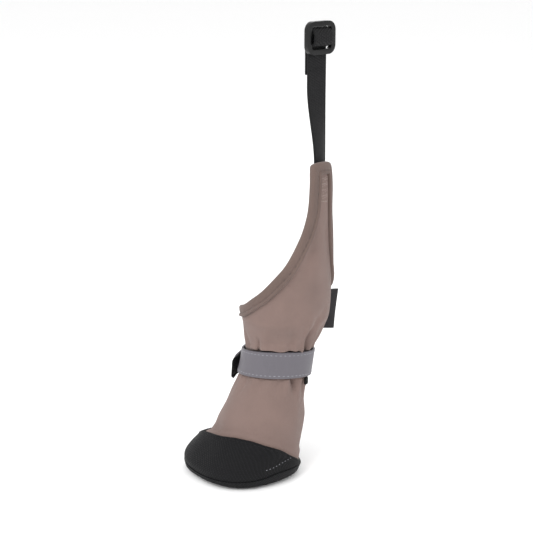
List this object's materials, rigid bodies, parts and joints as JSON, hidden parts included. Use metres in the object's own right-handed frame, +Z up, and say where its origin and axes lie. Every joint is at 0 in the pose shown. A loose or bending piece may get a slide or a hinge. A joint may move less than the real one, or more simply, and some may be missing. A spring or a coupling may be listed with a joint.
{
  "type": "dog boot",
  "caption": "Left front dog boot: taupe softshell sleeve with tall outer flap, black anti-slip foot, reflective ankle strap and webbing lift strap with slider.",
  "frame": {"origin": "on the floor, under the middle of the sole, where the forefoot's flat meets it", "axes": "+Z up from the floor, -Y towards the toe, +X towards the dog's outer side, where the tall flap stands"},
  "size_m": [0.078, 0.0828, 0.266],
  "materials": {
    "softshell": "matt brushed softshell",
    "grip_fabric": "satin, finely dotted",
    "insole_foam": "matt",
    "hook_and_loop": "matt",
    "reflective_tape": "satin",
    "label_tape": "matt",
    "webbing": "matt woven",
    "slider_plastic": "satin"
  },
  "bodies": {
    "root": {"outsole": "grip_fabric", "insole": "insole_foam", "upper": "softshell", "toe_cap": "grip_fabric", "heel_counter": "grip_fabric", "collar_hem": "softshell", "strap_backing": "hook_and_loop", "ankle_strap": "reflective_tape", "side_label": "label_tape", "lift_strap": "webbing", "strap_slider": "slider_plastic"}
  },
  "joints": []
}
